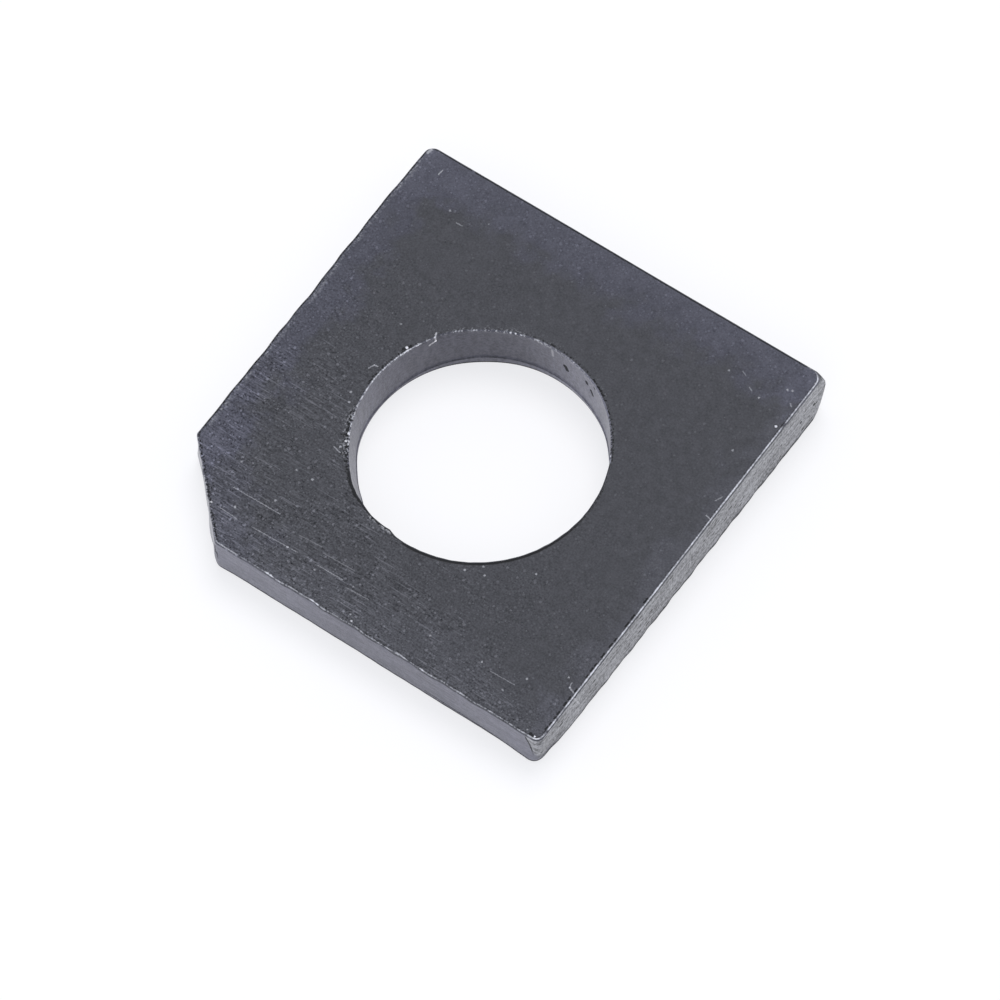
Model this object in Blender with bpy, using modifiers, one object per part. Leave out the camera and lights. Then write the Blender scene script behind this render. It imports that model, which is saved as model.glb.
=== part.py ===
"""Square taper washer: one blackened steel plate with a clipped corner and a punched bolt hole.

The plate keeps one thickness along X and grows thicker along +Y, so its top face is inclined.
Its front and back edges are the rolled edges of the bar that it was cut from, and its left and
right edges are sheared. The underside lies on z = 0, with the plate's middle over the origin.
Metres, +Z up.
"""

import math

import bmesh
import bpy
from mathutils import Vector

MM = 0.001

# Plate, between the planes of its side walls
PLATE_X = 40.9 * MM
PLATE_Y = 41.6 * MM
THIN_EDGE = 4.2 * MM
THICK_EDGE = 5.6 * MM
CLIP_LEG = 7.45 * MM
# The back edge is cut out of square: its left end falls short of its right end by this much
BACK_SKEW = 0.30 * MM
# The back wall is a rolled edge, which stands out this far at half its height
BACK_BULGE = 0.45 * MM

# Bolt hole, punched from below: a burnished land, then a torn wall that widens up to the top
BORE_DIAMETER = 22.0 * MM
BORE_X = 0.23 * MM
BORE_Y = -0.85 * MM
LAND_NARROWING = 0.11 * MM
LAND_HEIGHT = 0.80 * MM
TEAR_STEP = 0.05 * MM
BORE_ROLL = 0.24 * MM
MOUTH_ROUND = 0.12 * MM

# Outer edges: the shear pulls the lower edge round and leaves the upper one nearly sharp
ROLL_RUN = 0.30 * MM
ROLL_RISE = 0.35 * MM
TOP_ROUND = 0.20 * MM

# Radius of each upright corner at the underside, at CORNER_WAIST of the height, and at the top
CORNER_WAIST = 0.7
CORNER_RADII = {
    "clip_front": (1.1 * MM, 0.7 * MM, 0.5 * MM),
    "thin_right": (1.35 * MM, 0.55 * MM, 0.8 * MM),
    "thick_right": (1.75 * MM, 0.15 * MM, 1.05 * MM),
    "thick_left": (1.3 * MM, 0.8 * MM, 0.9 * MM),
    "clip_left": (1.1 * MM, 0.7 * MM, 0.5 * MM),
}

# Unevenness of each side as (height, wavelength, phase in turns) of waves along it
SIDE_WAVES = {
    "front": [(0.012 * MM, 19.0 * MM, 0.1)],
    "right": [(0.012 * MM, 26.0 * MM, 0.6)],
    "back": [(0.010 * MM, 31.0 * MM, 0.3)],
    "left": [(0.060 * MM, 27.0 * MM, 0.15), (0.028 * MM, 7.3 * MM, 0.4)],
    "clip": [(0.020 * MM, 4.1 * MM, 0.2)],
}
# Extra waves of the upper edge, where the shear left it nicked
TOP_WAVES = {
    "front": [(0.045 * MM, 5.2 * MM, 0.0), (0.025 * MM, 2.3 * MM, 0.35)],
    "left": [(0.030 * MM, 3.4 * MM, 0.7)],
    "clip": [(0.030 * MM, 2.1 * MM, 0.5)],
}

# Resolution of the meshes
POINT_SPACING = 0.75 * MM
CORNER_STEPS = 8
ROUND_STEPS = 4
WALL_SHARES = (0.25, 0.5, 0.7, 0.85)
BORE_STEPS = 160
CUT_PAST = 2.0 * MM
MERGE = 0.001 * MM

# Which side runs from each corner to the next one, anticlockwise
CORNER_NAMES = list(CORNER_RADII)
SIDE_NAMES = ["front", "right", "back", "left", "clip"]

STEEL_COLOUR = (0.085, 0.087, 0.095, 1.0)
STEEL_METALLIC = 0.6
STEEL_ROUGHNESS = 0.5


def clear_scene():
    """Remove every object that the file opened with."""
    for obj in list(bpy.data.objects):
        bpy.data.objects.remove(obj, do_unlink=True)


def new_collection(name):
    """Collection of this name under the scene."""
    collection = bpy.data.collections.new(name)
    bpy.context.scene.collection.children.link(collection)
    return collection


def top_height(y):
    """Height of the inclined top face over y."""
    return THIN_EDGE + (THICK_EDGE - THIN_EDGE) * (y + PLATE_Y / 2) / PLATE_Y


def corner_points(bulge):
    """The five sharp corners of the plate, anticlockwise from the clip's front end."""
    left = -PLATE_X / 2
    right = PLATE_X / 2
    front = -PLATE_Y / 2
    back = PLATE_Y / 2 + bulge
    return [
        Vector((left + CLIP_LEG, front)),
        Vector((right, front)),
        Vector((right, back)),
        Vector((left, back - BACK_SKEW)),
        Vector((left, front + CLIP_LEG)),
    ]


def corner_radius(name, share):
    """Radius of an upright corner at this share of the plate's height."""
    under, waist, top = CORNER_RADII[name]
    if share < CORNER_WAIST:
        return under + (waist - under) * share / CORNER_WAIST
    return waist + (top - waist) * (share - CORNER_WAIST) / (1 - CORNER_WAIST)


def wave(waves, along):
    """Sum of sine waves at a distance along a side."""
    return sum(height * math.sin(math.tau * (along / length + phase)) for height, length, phase in waves)


def outline(share, inset):
    """Points of the plate's outline at a share of its height, moved inwards by inset."""
    corners = corner_points(BACK_BULGE * 4 * share * (1 - share))
    plain = corner_points(0)
    points = []
    for index, corner in enumerate(corners):
        following = (index + 1) % len(corners)
        along_in = (corner - corners[index - 1]).normalized()
        along_out = (corners[following] - corner).normalized()
        turn = math.atan2(along_in.cross(along_out), along_in.dot(along_out))

        # The rounded corner, swung about its centre from one side's normal to the next one's
        radius = corner_radius(CORNER_NAMES[index], share)
        normal_in = Vector((along_in.y, -along_in.x))
        reach = radius * math.tan(turn / 2)
        centre = corner - along_in * reach - normal_in * radius
        first_angle = math.atan2(normal_in.y, normal_in.x)
        for step in range(CORNER_STEPS + 1):
            angle = first_angle + turn * step / CORNER_STEPS
            normal = Vector((math.cos(angle), math.sin(angle)))
            points.append(centre + normal * (radius - inset))

        # The side up to the next corner, with its waves fading out at both ends
        next_out = corners[(following + 1) % len(corners)] - corners[following]
        next_turn = along_out.angle(next_out.normalized())
        next_reach = corner_radius(CORNER_NAMES[following], share) * math.tan(next_turn / 2)
        start = corner + along_out * reach
        end = corners[following] - along_out * next_reach
        normal = Vector((along_out.y, -along_out.x))
        side = SIDE_NAMES[index]
        count = round((plain[following] - plain[index]).length / POINT_SPACING)
        for step in range(1, count):
            fraction = step / count
            point = start.lerp(end, fraction)
            distance = fraction * (plain[following] - plain[index]).length
            fade = math.sin(math.pi * fraction) ** 0.5
            offset = wave(SIDE_WAVES[side], distance) + share ** 2 * wave(TOP_WAVES.get(side, []), distance)
            points.append(point + normal * (offset * fade - inset))
    return points


def section_levels():
    """The rings of the outer wall from the underside up: (share of the height, rise, inset)."""
    levels = []
    for step in range(ROUND_STEPS + 1):
        angle = math.pi / 2 * step / ROUND_STEPS
        levels.append((0, ROLL_RISE * (1 - math.cos(angle)), ROLL_RUN * (1 - math.sin(angle))))
    levels.extend((share, 0, 0) for share in WALL_SHARES)
    for step in range(ROUND_STEPS + 1):
        angle = math.pi / 2 * step / ROUND_STEPS
        levels.append((1, TOP_ROUND * (math.sin(angle) - 1), TOP_ROUND * (1 - math.cos(angle))))
    return levels


def make_plate(collection, material):
    """The sheared plate without its hole: a loft from its underside up to its inclined top."""
    bm = bmesh.new()
    rings = []
    for share, rise, inset in section_levels():
        points = outline(share, inset)
        rings.append([bm.verts.new((p.x, p.y, share * top_height(p.y) + rise)) for p in points])
    for lower, upper in zip(rings, rings[1:]):
        for index in range(len(lower)):
            bm.faces.new((lower[index - 1], lower[index], upper[index], upper[index - 1]))
    bm.faces.new(reversed(rings[0]))
    bm.faces.new(rings[-1])
    bmesh.ops.recalc_face_normals(bm, faces=bm.faces)

    mesh = bpy.data.meshes.new("taper_washer")
    bm.to_mesh(mesh)
    bm.free()
    mesh.materials.append(material)
    mesh.shade_smooth()
    mesh.set_sharp_from_angle(angle=math.radians(32))
    plate = bpy.data.objects.new("taper_washer", mesh)
    collection.objects.link(plate)
    return plate


def bore_profile():
    """Outer side of the punched hole, from above the plate down to below it, as (radius, height)."""
    mouth = BORE_DIAMETER / 2
    land = mouth - LAND_NARROWING
    above = THICK_EDGE + CUT_PAST
    face = top_height(BORE_Y)
    widening = (mouth - land - TEAR_STEP) / (face - LAND_HEIGHT)
    profile = [
        (0, above),
        (mouth + widening * (above - face), above),
        (land + TEAR_STEP, LAND_HEIGHT),
        (land, LAND_HEIGHT - TEAR_STEP),
    ]
    for step in range(ROUND_STEPS + 1):
        angle = math.radians(80) * step / ROUND_STEPS
        profile.append((land + BORE_ROLL * (1 - math.cos(angle)), BORE_ROLL * (1 - math.sin(angle))))
    profile.append((profile[-1][0] + CUT_PAST, -CUT_PAST))
    profile.append((0, -CUT_PAST))
    return profile


def make_bore_cutter(collection):
    """The punched hole as a turned solid, in the hole's place."""
    mesh = bpy.data.meshes.new("bore_cutter")
    profile = bore_profile()
    edges = [(index, index + 1) for index in range(len(profile) - 1)]
    mesh.from_pydata([(radius, 0, height) for radius, height in profile], edges, [])
    cutter = bpy.data.objects.new("bore_cutter", mesh)
    collection.objects.link(cutter)
    cutter.location = (BORE_X, BORE_Y, 0)
    screw = cutter.modifiers.new("turn", "SCREW")
    screw.axis = "Z"
    screw.steps = BORE_STEPS
    screw.render_steps = BORE_STEPS
    screw.use_merge_vertices = True
    screw.merge_threshold = MERGE
    return cutter


def add_cut(obj, name, cutter):
    """Cut an object with a cutter, which is hidden."""
    cutter.hide_render = True
    cutter.display_type = "WIRE"
    cut = obj.modifiers.new(name, "BOOLEAN")
    cut.operation = "DIFFERENCE"
    cut.solver = "EXACT"
    cut.object = cutter


def add_mouth_round(obj):
    """Round the hole's upper rim, the only edge of the plate that is still a right angle."""
    bevel = obj.modifiers.new("mouth_round", "BEVEL")
    bevel.limit_method = "ANGLE"
    bevel.angle_limit = math.radians(60)
    bevel.width = MOUTH_ROUND
    bevel.segments = 2
    bevel.use_clamp_overlap = True


def steel_material():
    """Blackened steel, satin."""
    material = bpy.data.materials.new("blackened_steel")
    material.use_nodes = True
    shader = material.node_tree.nodes["Principled BSDF"]
    shader.inputs["Base Color"].default_value = STEEL_COLOUR
    shader.inputs["Metallic"].default_value = STEEL_METALLIC
    shader.inputs["Roughness"].default_value = STEEL_ROUGHNESS
    return material


def main():
    """Build the washer."""
    clear_scene()
    parts = new_collection("taper_washer")
    cutters = new_collection("cutters")
    plate = make_plate(parts, steel_material())
    add_cut(plate, "bore", make_bore_cutter(cutters))
    add_mouth_round(plate)


main()
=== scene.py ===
"""Looks of the square taper washer: its fine steel surface, its blackened finish, floor, lights and camera.

The steel is one closed mesh of rings. Each column of points starts on the underside, runs up the outer
wall, over the inclined top face, down the bolt hole and back along the underside. Sizes and places are
in millimetres until the mesh and the scene are made, and those are in metres.
"""

import math

import bpy
import numpy as np
from mathutils import Matrix, Vector, noise


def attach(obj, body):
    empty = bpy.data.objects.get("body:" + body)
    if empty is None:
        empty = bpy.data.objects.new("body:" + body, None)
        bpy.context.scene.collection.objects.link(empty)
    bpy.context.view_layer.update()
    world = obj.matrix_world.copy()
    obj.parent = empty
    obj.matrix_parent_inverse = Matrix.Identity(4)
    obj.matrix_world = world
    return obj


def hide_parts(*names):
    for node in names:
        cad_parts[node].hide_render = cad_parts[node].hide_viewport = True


MM = 0.001

# The plate, as in the CAD model
PLATE_X = 40.9
PLATE_Y = 41.6
THIN_EDGE = 4.2
THICK_EDGE = 5.6
CLIP_LEG = 7.45
BACK_SKEW = 0.30
BACK_BULGE = 0.45
BORE_RADIUS = 11.0
BORE_X = 0.23
BORE_Y = -0.85
LAND_NARROWING = 0.11
TEAR_STEP = 0.05
BORE_ROLL = 0.24
MOUTH_ROUND = 0.12
ROLL_RUN = 0.30
ROLL_RISE = 0.35
TOP_ROUND = 0.20
CORNER_WAIST = 0.7
CORNER_RADII = {
    "clip_front": (1.1, 0.7, 0.5),
    "thin_right": (1.35, 0.55, 0.8),
    "thick_right": (1.75, 0.15, 1.05),
    "thick_left": (1.3, 0.8, 0.9),
    "clip_left": (1.1, 0.7, 0.5),
}
SIDE_WAVES = {
    "front": [(0.012, 19.0, 0.1)],
    "right": [(0.012, 26.0, 0.6)],
    "back": [(0.010, 31.0, 0.3)],
    "left": [(0.060, 27.0, 0.15), (0.028, 7.3, 0.4)],
    "clip": [(0.020, 4.1, 0.2)],
}
TOP_WAVES = {
    "front": [(0.045, 5.2, 0.0), (0.025, 2.3, 0.35)],
    "left": [(0.030, 3.4, 0.7)],
    "clip": [(0.030, 2.1, 0.5)],
}
CORNER_NAMES = list(CORNER_RADII)
SIDE_NAMES = ["front", "right", "back", "left", "clip"]
SIDES = len(SIDE_NAMES)

# Waves that the CAD model leaves out: along the whole height of a side, and along its lower edge
EXTRA_WAVES = {"left": [(0.10, 45.0, 0.0)]}
UNDER_WAVES = {
    "front": [(0.010, 6.1, 0.3), (0.006, 1.7, 0.0)],
    "right": [(0.030, 4.3, 0.2), (0.020, 1.9, 0.6)],
}

# Resolution of the mesh
POINT_SPACING = 0.13
CORNER_STEPS = 14
ROUND_STEPS = 6
WALL_SHARES = (0.115, 0.15, 0.21, 0.29, 0.38, 0.47, 0.56, 0.65, 0.74, 0.82, 0.88, 0.92, 0.94)
EDGE_OFFSETS = (0.06, 0.15, 0.35, 0.8)
FACE_STEPS = 4
BORE_SHARES = (0.02, 0.05, 0.09, 0.17, 0.26, 0.35, 0.45, 0.55, 0.65, 0.75, 0.85, 0.93)
LAND_SHARES = (0.0, 0.2, 0.4, 0.75)
UNDER_OFFSETS = (0.2, 0.7)
UNDER_STEPS = 4

# How deep the unevenness of each kind of surface goes, and the size of its hollows along and upwards
UNEVENNESS = {
    "roll": [(0.016, 2.4, 1.2)],
    "wall": [(0.016, 2.4, 1.2), (0.010, 0.7, 0.5)],
    "edge": [(0.035, 0.8, 0.8), (0.030, 2.4, 2.4)],
    "face": [(0.012, 4.0, 4.0)],
    "mouth": [(0.050, 0.7, 0.7)],
    "bore": [(0.045, 0.8, 3.0), (0.020, 0.4, 0.8)],
    "land": [(0.010, 0.8, 3.0)],
    "under": [(0.010, 4.0, 4.0)],
}
# Hollows pressed into the surface, and lumps where the depth is below nought: x, y, z, radius, depth
HOLLOWS = [
    (-7.56, -20.72, 4.18, 0.13, 0.05),
    (-7.26, -20.72, 4.18, 0.12, 0.05),
    (-2.75, -20.72, 4.15, 0.35, 0.07),
    (4.60, -20.70, 4.18, 0.45, 0.10),
    (5.70, -20.70, 4.18, 0.50, -0.10),
    (7.20, -20.70, 4.18, 0.45, 0.10),
    (20.45, -19.50, 0.80, 1.30, 0.27),
    (18.60, -20.80, 0.50, 1.50, -0.13),
    (19.86, -20.72, 0.35, 0.80, -0.18),
    (-13.10, -20.60, 1.40, 1.40, -0.15),
    (-15.30, -18.50, 0.60, 1.30, -0.18),
    (-20.45, -13.20, 1.00, 1.00, -0.18),
    (-8.36, -7.56, 0.40, 2.20, -0.28),
    (-6.50, -9.40, 0.40, 1.50, -0.30),
    (-6.10, 8.00, 0.40, 3.00, -0.10),
    (8.58, 6.16, 0.40, 1.80, -0.14),
    (20.40, 15.03, 5.40, 0.30, 0.05),
    (19.20, 20.25, 5.60, 0.14, 0.05),
    (-19.97, 18.65, 5.50, 0.20, 0.05),
    (-19.92, 15.95, 5.45, 0.20, 0.05),
    (-15.75, -17.80, 4.30, 0.20, 0.05),
    (1.11, 10.12, 3.24, 0.28, 0.12),
    (3.70, 9.59, 3.84, 0.22, 0.10),
    (4.24, 9.39, 3.29, 0.28, 0.12),
]

# Wear and painted light across the outer edge of each side, over the rounded edge from the wall and then
# onto the face:
# one is bare metal, more is a painted highlight, and minus one is black. The black on the back and left
# edges, and beside the right edge's bright line, is painted shade, a dark outline; the bright lines are
# partly wear, partly painted highlights
EDGE_WEAR_AND_PAINTED_LIGHT = {
    "front": (0.0, -0.2, -0.1, 0.5, 0.95, 0.6, -0.2, -0.5, -0.2, 0.0, 0.0),
    "right": (-0.30, -0.7, -0.1, 1.0, 1.40, 1.3, 0.3, -0.6, -0.25, 0.0, 0.0),
    "back": (-1.0, -1.0, -1.0, -1.0, -1.0, -1.0, -0.9, -0.5, 0.1, 0.05, 0.0),
    "left": (-1.0, -1.0, -1.0, -1.0, -1.0, -1.0, -0.8, 0.0, 0.5, 0.4, 0.0),
    "clip": (0.6, 0.6, 0.6, 0.4, 0.0, -0.5, -0.9, -0.7, -0.2, 0.0, 0.0),
}
# How strongly bright and black chips break up each side's edge, and how far down its wall is bare
EDGE_CHIPS = {"front": 0.35, "right": 0.25, "back": 0.15, "left": 0.5, "clip": 0.9}
WALL_WEAR = {"front": 0.0, "right": 0.0, "back": 0.0, "left": 0.0, "clip": 0.9}
# Painted shade on the rolled lower edge, from the underside up, and on the first rows of the wall above it:
# a black line along the foot of the walls
ROLL_PAINTED_SHADE = (-1.0, -1.0, -1.0, -1.0, -1.0, -0.95, -0.8, -0.5, -0.25)
# Painted shade down the upright corner between the right and the back wall, a dark outline
UPRIGHT_PAINTED_SHADE = -0.6
# Spots on the outer edges: side, place along it, half length and brightness
EDGE_SPOTS = [
    ("front", -12.3, 0.60, 0.5),
    ("front", -11.0, 0.60, 0.3),
    ("front", -7.60, 0.15, 2.0),
    ("front", -7.20, 0.15, 2.0),
    ("front", -6.36, 0.12, 1.0),
    ("front", -2.95, 0.20, 1.7),
    ("front", -2.45, 0.18, 1.5),
    ("front", -1.80, 0.12, 0.7),
    ("front", -0.46, 0.12, 0.7),
    ("front", 2.13, 0.12, 0.6),
    ("front", 4.90, 0.35, 0.6),
    ("front", 6.50, 0.30, 0.6),
    ("front", 8.41, 0.16, 0.9),
    ("front", 9.35, 0.12, 0.5),
    ("front", 12.41, 0.14, 0.7),
    ("front", 14.46, 0.12, 0.5),
    ("front", 15.40, 0.12, 0.5),
    ("front", 16.30, 0.12, 0.5),
    ("front", 17.50, 0.12, 0.5),
    ("right", -19.60, 0.20, -0.8),
    ("right", -19.15, 0.12, 0.5),
    ("right", -18.60, 0.25, 0.4),
    ("right", -18.10, 0.12, -0.7),
    ("right", -17.15, 0.12, -0.5),
    ("right", -16.40, 0.20, 0.6),
    ("right", -15.50, 0.30, 0.6),
    ("right", -14.90, 0.20, 0.5),
    ("right", -14.00, 0.35, 0.6),
    ("right", -12.75, 0.45, 0.6),
    ("right", -10.60, 0.30, 0.5),
    ("right", -8.60, 0.40, 0.5),
    ("right", -6.00, 0.50, 0.6),
    ("right", -3.60, 0.60, 0.5),
    ("right", 1.50, 0.80, 0.4),
    ("right", 7.50, 1.00, 0.4),
    ("right", 12.60, 0.60, 0.5),
    ("right", 15.03, 0.22, -1.0),
    ("right", 20.00, 0.40, 0.5),
    ("back", 19.10, 0.12, 1.6),
    ("back", -15.76, 0.12, 1.6),
    ("left", 18.65, 0.20, 1.0),
    ("left", 15.95, 0.20, 1.1),
    ("left", 15.52, 0.15, 0.8),
]
# How strongly an edge spot, and a chip, shows on each of the edge's rows in the table of edge wear and
# painted light
SPOT_ROWS = (0.0, 0.0, 0.3, 0.8, 1.0, 0.9, 0.7, 0.5, 0.2, 0.0, 0.0)
CHIP_ROWS = (0.0, 0.0, 0.3, 0.8, 1.0, 1.0, 1.0, 0.9, 0.5, 0.1, 0.0)

# The hole's upper rim by the angle round it, in degrees: how far it reaches beyond its round form,
# its wear and painted light beside it on the face, on it, and below it on the wall, and how strongly chips
# break it up.
# The black along the near rim is painted shade, a dark outline, and the brightest stretches are partly
# painted highlights
RIM = [
    (0, 0.0, -0.6, -1.0, -0.3, 0.1),
    (24, -0.03, -0.5, -1.0, 0.0, 0.2),
    (34, -0.10, -0.5, -0.6, 0.3, 0.4),
    (45, -0.04, -0.5, -0.3, 0.3, 0.4),
    (60, 0.0, -0.6, 0.1, 0.35, 0.5),
    (66, 0.02, -0.5, 0.3, 0.35, 0.5),
    (75, -0.06, -0.5, 0.5, 0.4, 0.5),
    (87, -0.08, -0.4, 0.5, 0.4, 0.5),
    (94, -0.06, -0.2, 0.5, 0.4, 0.6),
    (100, -0.05, -0.1, 0.5, 0.3, 0.6),
    (118, -0.05, 0.0, 0.4, 0.1, 0.6),
    (125, -0.05, 0.0, 0.4, 0.0, 0.6),
    (137, 0.12, 0.0, 0.4, 0.0, 0.6),
    (144, 0.16, -0.1, 0.4, 0.0, 0.5),
    (150, 0.05, 0.0, 0.7, 0.0, 0.3),
    (158, 0.08, -0.4, 1.4, 0.0, 0.5),
    (164, 0.10, -0.5, 1.4, 0.1, 0.6),
    (180, 0.12, -0.5, 1.4, 0.1, 0.6),
    (188, 0.12, -0.4, 1.4, 0.1, 0.4),
    (196, 0.16, -0.2, 0.5, 0.1, 0.9),
    (204, 0.14, -0.3, 0.3, 0.0, 1.3),
    (214, 0.10, -0.4, 0.3, 0.0, 1.3),
    (224, 0.19, -0.8, -0.8, 1.0, 0.7),
    (232, 0.27, -1.0, -1.0, 1.4, 0.3),
    (238, 0.25, -1.0, -1.0, 1.4, 0.2),
    (243, 0.18, -0.5, -1.0, 0.5, 0.1),
    (250, 0.14, 0.4, -1.0, -0.4, 0.4),
    (255, 0.02, 0.5, -1.0, -0.4, 0.4),
    (261, -0.17, 0.8, -1.0, -0.4, 0.3),
    (265, 0.0, -0.2, -1.0, -0.4, 0.2),
    (272, 0.0, -1.0, -1.0, -0.4, 0.0),
    (330, 0.0, -1.0, -1.0, -0.5, 0.0),
    (360, 0.0, -0.6, -1.0, -0.3, 0.1),
]
# How strongly wear and painted highlights on the rim show on each row over it, from the face down
RIM_ROWS = (0.5, 0.9, 1.0, 1.0, 0.8, 0.5, 0.2)
# Spots on that rim: angle, half width in degrees, and brightness
RIM_SPOTS = [
    (26.1, 0.6, 2.3),
    (28.5, 0.6, 2.5),
    (80.0, 0.8, 0.6),
    (93.0, 1.2, 0.7),
    (99.6, 0.7, 0.6),
    (104.8, 0.7, 0.5),
    (107.9, 0.6, 0.9),
    (110.1, 0.6, 1.0),
    (112.6, 0.7, 1.3),
    (118.6, 0.6, 0.6),
    (124.2, 0.8, 0.7),
    (128.2, 1.3, 1.0),
    (136.7, 0.6, 1.1),
    (153.7, 0.8, 0.8),
    (159.5, 0.6, 1.4),
    (188.3, 0.6, -1.2),
]
# How high the burnished land reaches, by the same angle
LAND_TOPS = [
    (0, 0.55),
    (40, 0.4),
    (62, 0.55),
    (90, 0.85),
    (125, 1.05),
    (150, 0.75),
    (175, 0.4),
    (200, 0.55),
    (360, 0.55),
]
# Darkness and lightness down the land, from the dark line where it starts to a pale band that is partly a
# painted reflection of the floor;
# of the torn wall's last row above it; and painted shade on the rolled lip below it, a black line along the
# hole's lower edge
LAND_LINE_AND_REFLECTION = (-0.65, -0.3, 0.2, 0.1)
TEAR_END_WEAR = -0.25
LIP_PAINTED_SHADE = -0.9

# Marks on the top face: from x, y to x, y, half width and brightness
FACE_MARKS = [
    (-14.76, -15.73, -9.99, -15.60, 0.05, 0.42),
    (-14.71, -17.92, -12.78, -17.99, 0.05, 0.42),
    (-11.12, -17.90, -6.68, -17.69, 0.05, 0.42),
    (-4.53, -17.71, -1.93, -17.65, 0.05, 0.42),
    (-4.78, -16.52, -1.59, -16.41, 0.06, 0.27),
    (-7.46, -16.28, -5.22, -16.13, 0.06, 0.27),
    (-1.31, -18.08, 0.91, -17.93, 0.06, 0.31),
    (13.23, -17.64, 15.68, -17.54, 0.05, 0.34),
    (-9.99, -7.88, -9.23, -8.06, 0.07, 0.59),
    (-10.20, -6.60, -9.40, -6.30, 0.07, -0.85),
    (19.48, -14.75, 19.57, -15.18, 0.07, 0.42),
    (19.57, -15.18, 20.11, -15.39, 0.09, 0.59),
    (-18.07, 18.46, -18.01, 19.01, 0.07, 0.48),
    (-14.01, 15.44, -13.45, 15.48, 0.07, 0.34),
    (14.55, 17.27, 14.93, 17.11, 0.06, 0.30),
    (15.89, 16.32, 16.25, 16.15, 0.07, 0.34),
    (19.60, 16.97, 19.87, 16.75, 0.07, 0.37),
    (19.63, 5.88, 19.92, 6.48, 0.07, 0.37),
    (19.80, 4.31, 20.19, 4.24, 0.07, 0.48),
    (-11.98, -0.16, -11.75, 0.34, 0.07, 0.59),
    (-11.75, 0.34, -11.43, 0.40, 0.07, 0.51),
    (-15.82, -17.93, -15.46, -17.91, 0.12, 0.85),
    (19.32, -20.48, 19.60, -20.56, 0.15, -0.95),
    (19.92, -20.64, 20.06, -20.52, 0.14, -0.95),
    (20.14, -19.40, 20.14, -19.20, 0.10, -0.80),
    (20.16, -18.90, 20.18, -18.70, 0.10, -0.90),
    (20.18, -18.20, 20.20, -18.05, 0.10, -0.80),
    (20.16, -17.75, 20.18, -17.50, 0.11, -0.95),
    (20.15, -16.80, 20.15, -16.50, 0.11, -0.95),
    (20.14, -16.15, 20.14, -15.90, 0.11, -0.95),
    (20.14, -15.25, 20.16, -15.00, 0.10, -0.70),
    (20.18, -13.65, 20.20, -13.40, 0.10, -0.80),
    (20.16, -12.95, 20.16, -12.65, 0.11, -0.90),
    (20.17, -12.40, 20.17, -12.15, 0.10, -0.80),
    (20.16, -11.40, 20.16, -11.05, 0.11, -0.80),
    (20.16, -10.30, 20.16, -9.90, 0.10, -0.80),
    (20.17, -9.60, 20.17, -9.35, 0.10, -0.70),
    (20.17, -7.95, 20.17, -7.50, 0.10, -0.80),
    (20.17, -7.10, 20.17, -6.70, 0.10, -0.80),
    (20.17, -5.30, 20.17, -4.80, 0.10, -0.80),
    # Painted shade: the seven black marks from here on trace the hole's near rim as a dark outline
    (-7.51, -9.15, -6.79, -9.83, 0.13, -1.10),
    (-6.79, -9.83, -5.80, -10.50, 0.13, -1.10),
    (-5.80, -10.50, -4.90, -10.93, 0.13, -1.10),
    (-4.90, -10.93, -3.62, -11.44, 0.13, -1.10),
    (-3.62, -11.44, -2.66, -11.62, 0.13, -1.10),
    (-2.66, -11.62, -1.48, -11.68, 0.13, -1.10),
    (-1.48, -11.68, -0.54, -11.93, 0.13, -1.10),
    # Painted highlight: the next mark is a glint on the rounded front right corner
    (19.80, -20.51, 19.82, -20.50, 0.13, 1.40),
    (18.92, -20.30, 18.92, -20.30, 0.10, 0.60),
    # Painted highlights: the last two marks are glints on the rounded back corners
    (-20.00, 20.10, -20.10, 19.70, 0.16, 0.55),
    (20.30, 19.70, 20.38, 20.15, 0.12, 0.50),
]
# Specks on the top face: x, y, radius and brightness
FACE_SPECKS = [
    (-15.62, -13.39, 0.13, 0.59),
    (-13.53, -17.18, 0.15, 0.85),
    (-7.62, -17.76, 0.13, 0.77),
    (-4.49, -18.19, 0.13, 0.68),
    (-0.83, -17.67, 0.12, 0.59),
    (-11.31, -11.44, 0.12, 0.59),
    (-9.66, -11.44, 0.12, 0.51),
    (-11.06, -14.78, 0.12, 0.51),
    (5.97, -11.18, 0.13, 0.77),
    (7.11, -10.04, 0.14, 0.59),
    (7.65, -10.69, 0.12, 0.77),
    (11.16, -8.15, 0.12, 0.77),
    (0.47, -19.88, 0.12, 0.77),
    (0.90, -20.34, 0.13, 1.19),
    (7.16, -17.77, 0.13, 0.59),
    (12.17, -17.34, 0.12, 0.51),
    (15.08, -18.48, 0.12, 0.59),
    (16.18, -16.52, 0.12, 0.51),
    (18.98, -14.48, 0.10, 0.51),
    (13.50, 16.69, 0.12, 0.42),
    (17.10, 15.95, 0.12, 0.51),
    (18.66, 17.92, 0.12, 0.51),
    (19.08, 18.07, 0.13, 0.59),
    (19.84, 14.51, 0.15, 1.40),
    (18.11, 10.59, 0.12, 0.42),
    (-15.16, 16.10, 0.13, 0.42),
    (-11.64, 16.86, 0.10, 0.34),
    (-11.87, -2.87, 0.14, 0.68),
    (-11.44, -3.73, 0.14, 0.77),
    (-9.69, -6.13, 0.14, 0.85),
    (-8.95, -7.01, 0.13, 0.77),
    (-12.18, 4.81, 0.12, 0.42),
    (-10.44, 3.24, 0.17, 1.50),
    (-10.22, 3.55, 0.15, -1.00),
    (-10.62, 2.95, 0.15, -1.00),
    (-9.82, 4.13, 0.12, 0.70),
    (-9.40, 4.75, 0.12, 0.80),
    (-9.66, -6.20, 0.16, 1.20),
    (-9.46, -6.89, 0.15, 1.10),
    (-9.53, -7.60, 0.13, 0.90),
    (-9.85, -6.55, 0.15, -0.90),
    (-9.20, -7.25, 0.15, -0.90),
    (-9.00, -8.05, 0.16, -0.90),
]
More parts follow.
